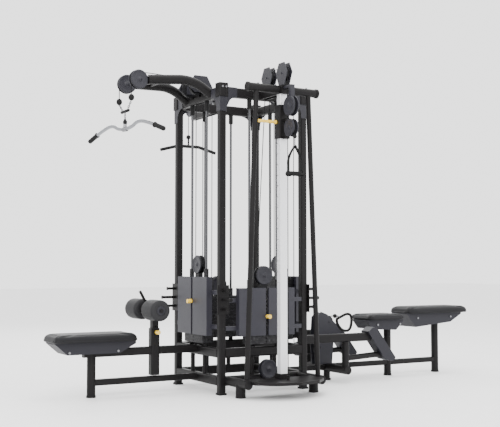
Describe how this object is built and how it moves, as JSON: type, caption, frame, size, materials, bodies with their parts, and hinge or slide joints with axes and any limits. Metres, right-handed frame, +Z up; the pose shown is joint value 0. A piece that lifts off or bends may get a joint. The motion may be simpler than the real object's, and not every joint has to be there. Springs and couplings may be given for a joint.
{
  "type": "multi station home gym",
  "caption": "Gym machine with a square tower of weight stacks, a pulldown seat, a cable column, a high pulley and a rowing bench.",
  "frame": {"origin": "on the floor, in the middle of the machine's bounding box", "axes": "+X from the tower towards the rowing bench, -Y towards the column station, +Z up"},
  "size_m": [3.67, 1.736, 2.324],
  "materials": {
    "frame_paint": "satin black",
    "guard_grey": "fine matt, dark blue grey",
    "cover_grey": "fine matt",
    "pad_black": "grained, low sheen",
    "pan_black": "matt",
    "chrome": "polished",
    "column_silver": "fine satin",
    "stack_iron": "painted black",
    "stack_frame_steel": "satin",
    "rubber": "matt",
    "foam_black": "matt foam with skin",
    "yellow": "gloss",
    "cable_black": "coated cable",
    "wheel_black": "nylon",
    "strap_black": "webbing",
    "steel": "satin"
  },
  "bodies": {
    "frame": {"tower_columns": "frame_paint", "top_ring": "frame_paint", "lower_rings": "frame_paint", "guide_rods": "chrome", "resting_plates": "stack_iron", "stack_guards": "guard_grey", "peg_brackets": "frame_paint", "stack_cable_front": "cable_black", "stack_cable_right": "cable_black", "stack_cable_back": "cable_black", "stack_cable_left": "cable_black", "cable_runs": "cable_black", "pulley_covers": "cover_grey", "guide_wheels": "wheel_black", "lat_booms": "frame_paint", "lat_end_cables": "cable_black", "lat_seat_pad": "pad_black", "seat_pans": "pan_black", "lat_bench_frame": "frame_paint", "a_frame": "frame_paint", "front_base_plate": "frame_paint", "front_column": "column_silver", "back_arm": "frame_paint", "back_end_cable": "cable_black", "row_pads": "pad_black", "row_frame": "frame_paint", "footplates": "pan_black", "row_pulley_housing": "cover_grey", "rubber_feet_and_bumpers": "rubber", "frame_bolts_and_clamps": "steel"},
    "front_stack": {"lifted_plates_front": "stack_iron", "lift_pulley_front": "stack_frame_steel"},
    "front_pin": {"selector_pin_front": "yellow"},
    "right_stack": {"lifted_plates_right": "stack_iron", "lift_pulley_right": "stack_frame_steel"},
    "right_pin": {"selector_pin_right": "yellow"},
    "back_stack": {"lifted_plates_back": "stack_iron", "lift_pulley_back": "stack_frame_steel"},
    "back_pin": {"selector_pin_back": "yellow"},
    "left_stack": {"lifted_plates_left": "stack_iron", "lift_pulley_left": "stack_frame_steel"},
    "left_pin": {"selector_pin_left": "yellow"},
    "lat_hanger": {"lat_spreader": "steel"},
    "lat_bar_turning": {"lat_bar": "chrome", "lat_bar_grips": "rubber"},
    "lat_tip_front": {"lat_tip_pulley_front": "wheel_black"},
    "lat_tip_back": {"lat_tip_pulley_back": "wheel_black"},
    "knee_post_sliding": {"knee_post": "frame_paint"},
    "knee_rollers_turning": {"knee_rollers": "foam_black"},
    "knee_pin_sliding": {"knee_pin": "yellow"},
    "carriage_sliding": {"carriage": "frame_paint"},
    "carriage_handle_sliding": {"carriage_handle": "yellow"},
    "swivel_turning": {"swivel_pulley": "cover_grey"},
    "swivel_wheel_turning": {"swivel_wheel": "wheel_black"},
    "strap_hanging": {"strap_handle": "strap_black", "handle_grip": "rubber"},
    "pushdown_hanging": {"pushdown_bar": "rubber"},
    "back_tip_turning": {"back_tip_pulley": "wheel_black"},
    "row_handle_pulled": {"row_handle": "rubber"},
    "row_wheel_turning": {"row_pulley": "wheel_black"}
  },
  "joints": [
    {"name": "front_lift", "type": "slide", "parent": "frame", "child": "front_stack", "axis": [0, 0, 1], "range_m": [0, 0.6], "deforming": ["stack_cable_front"]},
    {"name": "front_pin_pull", "type": "slide", "parent": "front_stack", "child": "front_pin", "axis": [0, -1, 0], "range_m": [0, 0.05]},
    {"name": "right_lift", "type": "slide", "parent": "frame", "child": "right_stack", "axis": [0, 0, 1], "range_m": [0, 0.45], "deforming": ["stack_cable_right"]},
    {"name": "right_pin_pull", "type": "slide", "parent": "right_stack", "child": "right_pin", "axis": [1, 0, 0], "range_m": [0, 0.05]},
    {"name": "back_lift", "type": "slide", "parent": "frame", "child": "back_stack", "axis": [0, 0, 1], "range_m": [0, 0.45], "deforming": ["stack_cable_back"]},
    {"name": "back_pin_pull", "type": "slide", "parent": "back_stack", "child": "back_pin", "axis": [0, 1, 0], "range_m": [0, 0.05]},
    {"name": "left_lift", "type": "slide", "parent": "frame", "child": "left_stack", "axis": [0, 0, 1], "range_m": [0, 0.85], "deforming": ["stack_cable_left"]},
    {"name": "left_pin_pull", "type": "slide", "parent": "left_stack", "child": "left_pin", "axis": [-1, 0, 0], "range_m": [0, 0.05]},
    {"name": "lat_pull", "type": "slide", "parent": "frame", "child": "lat_hanger", "axis": [0, 0, -1], "range_m": [0, 0.85], "deforming": ["lat_end_cables"]},
    {"name": "lat_bar_swivel", "type": "hinge", "parent": "lat_hanger", "child": "lat_bar_turning", "pos_m": [-1.29, -0.018, 1.865], "axis": [0, 0, 1], "range_deg": [-60, 60]},
    {"name": "lat_tip_turn_front", "type": "hinge", "parent": "frame", "child": "lat_tip_front", "pos_m": [-1.23523, -0.12292, 2.21], "axis": [-0.0924, 0.9957, 0], "range_deg": [-900, 0]},
    {"name": "lat_tip_turn_back", "type": "hinge", "parent": "frame", "child": "lat_tip_back", "pos_m": [-1.23523, 0.08692, 2.21], "axis": [0.0924, 0.9957, 0], "range_deg": [-900, 0]},
    {"name": "knee_height", "type": "slide", "parent": "frame", "child": "knee_post_sliding", "axis": [0, 0, 1], "range_m": [-0.04, 0.12]},
    {"name": "knee_roll", "type": "hinge", "parent": "knee_post_sliding", "child": "knee_rollers_turning", "pos_m": [-1.113, -0.018, 0.59], "axis": [0, 1, 0], "continuous": true},
    {"name": "knee_pin_pull", "type": "slide", "parent": "frame", "child": "knee_pin_sliding", "axis": [0, -1, 0], "range_m": [0, 0.012], "stiffness_N_per_m": 800},
    {"name": "carriage_height", "type": "slide", "parent": "frame", "child": "carriage_sliding", "axis": [0, 0, -1], "range_m": [0, 1.38]},
    {"name": "carriage_pin_pull", "type": "slide", "parent": "carriage_sliding", "child": "carriage_handle_sliding", "axis": [-1, 0, 0], "range_m": [0, 0.015], "stiffness_N_per_m": 800},
    {"name": "swivel_turn", "type": "hinge", "parent": "carriage_sliding", "child": "swivel_turning", "pos_m": [-0.355, -0.693, 1.855], "axis": [0, 0, 1], "range_deg": [-80, 80]},
    {"name": "swivel_wheel_turn", "type": "hinge", "parent": "swivel_turning", "child": "swivel_wheel_turning", "pos_m": [-0.355, -0.738, 1.855], "axis": [1, 0, 0], "range_deg": [0, 1560]},
    {"name": "strap_pull", "type": "slide", "parent": "swivel_turning", "child": "strap_hanging", "axis": [0, 0, -1], "range_m": [0, 1.2]},
    {"name": "pushdown_pull", "type": "slide", "parent": "frame", "child": "pushdown_hanging", "axis": [0, 0, -1], "range_m": [0, 0.9], "deforming": ["back_end_cable"]},
    {"name": "back_tip_turn", "type": "hinge", "parent": "frame", "child": "back_tip_turning", "pos_m": [-0.355, 0.794, 2.21], "axis": [1, 0, 0], "range_deg": [-940, 0]},
    {"name": "row_pull", "type": "slide", "parent": "frame", "child": "row_handle_pulled", "axis": [0.6505, 0, 0.7595], "range_m": [0, 0.9]},
    {"name": "row_wheel_turn", "type": "hinge", "parent": "frame", "child": "row_wheel_turning", "pos_m": [0.445, -0.018, 0.455], "axis": [0, 1, 0], "range_deg": [0, 1150]}
  ],
  "couplings": [
    {"joint": "lat_pull", "follows": "left_lift", "ratio": 1},
    {"joint": "lat_tip_turn_front", "follows": "left_lift", "rad_per_m": -18.182},
    {"joint": "lat_tip_turn_back", "follows": "left_lift", "rad_per_m": -18.182},
    {"joint": "swivel_wheel_turn", "follows": "front_lift", "rad_per_m": 44.444},
    {"joint": "strap_pull", "follows": "front_lift", "ratio": 2},
    {"joint": "pushdown_pull", "follows": "back_lift", "ratio": 2},
    {"joint": "back_tip_turn", "follows": "back_lift", "rad_per_m": -36.364},
    {"joint": "row_pull", "follows": "right_lift", "ratio": 2},
    {"joint": "row_wheel_turn", "follows": "right_lift", "rad_per_m": 44.444}
  ]
}
